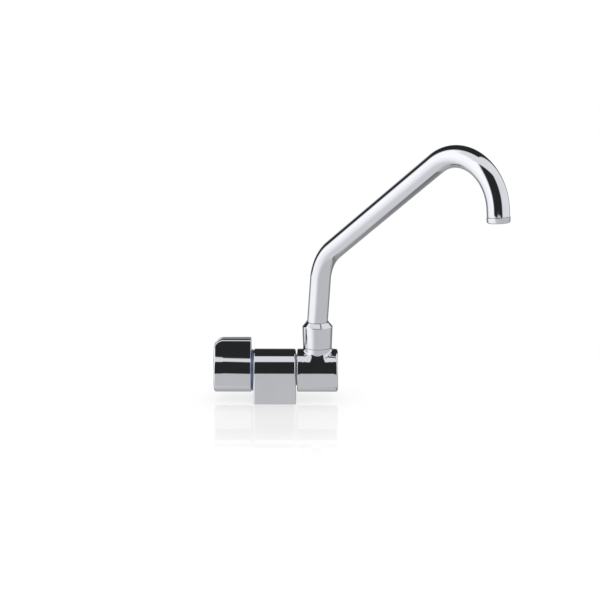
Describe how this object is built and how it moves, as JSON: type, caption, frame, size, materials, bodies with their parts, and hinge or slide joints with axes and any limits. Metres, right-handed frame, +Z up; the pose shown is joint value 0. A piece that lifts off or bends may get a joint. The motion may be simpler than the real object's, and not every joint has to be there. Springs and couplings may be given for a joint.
{
  "type": "fold-down sink tap",
  "caption": "Compact chrome fold-down cold-water tap: square-based mounting block, lever-wing knob, folding elbow and a bent swivel spout.",
  "frame": {"origin": "centre of the mounting block's base, where the tap meets the worktop", "axes": "+Z up from the base; +X along the body from the control knob towards the elbow and spout; -Y towards the user"},
  "size_m": [0.2068, 0.145, 0.207],
  "materials": {
    "chrome": "polished",
    "brass": "satin",
    "steel": "satin",
    "rubber": "matte",
    "acetal": "satin",
    "blue_plastic": "gloss",
    "ceramic": "satin"
  },
  "bodies": {
    "block": {"body_block": "chrome", "base_gasket": "rubber", "index_ring": "blue_plastic", "stop_pin": "steel", "valve_housing": "brass", "housing_o_ring": "rubber", "ceramic_disc_fixed": "ceramic", "seat_seal": "rubber", "pivot_spigot": "brass", "spigot_o_ring_left": "rubber", "spigot_o_ring_right": "rubber", "thrust_washer": "acetal", "wave_spring": "steel", "retaining_washer": "steel", "retaining_screw": "steel"},
    "knob": {"control_knob": "chrome", "knob_grub_screw": "steel", "spindle": "brass", "spindle_o_ring": "rubber", "spindle_clip": "steel", "ceramic_disc_moving": "ceramic"},
    "elbow": {"swivel_elbow": "chrome", "pivot_bush_left": "acetal", "pivot_bush_right": "acetal", "elbow_end_cap": "chrome", "collar_nut": "chrome", "spout_bush": "acetal"},
    "spout": {"spout_tube": "chrome", "spout_tail": "brass", "spout_o_ring_lower": "rubber", "spout_o_ring_upper": "rubber", "outlet_ring": "chrome", "outlet_o_ring": "rubber", "flow_straightener": "acetal"}
  },
  "joints": [
    {"name": "elbow_fold", "type": "hinge", "parent": "block", "child": "elbow", "pos_m": [0.0323, 0, 0.0225], "axis": [1, 0, 0], "range_deg": [0, 90]},
    {"name": "spout_swivel", "type": "hinge", "parent": "elbow", "child": "spout", "pos_m": [0.0323, 0, 0.0225], "axis": [0, 0, 1], "range_deg": [-135, 45]},
    {"name": "knob_turn", "type": "hinge", "parent": "block", "child": "knob", "pos_m": [-0.033, 0, 0.0225], "axis": [1, 0, 0], "range_deg": [0, 90]}
  ]
}
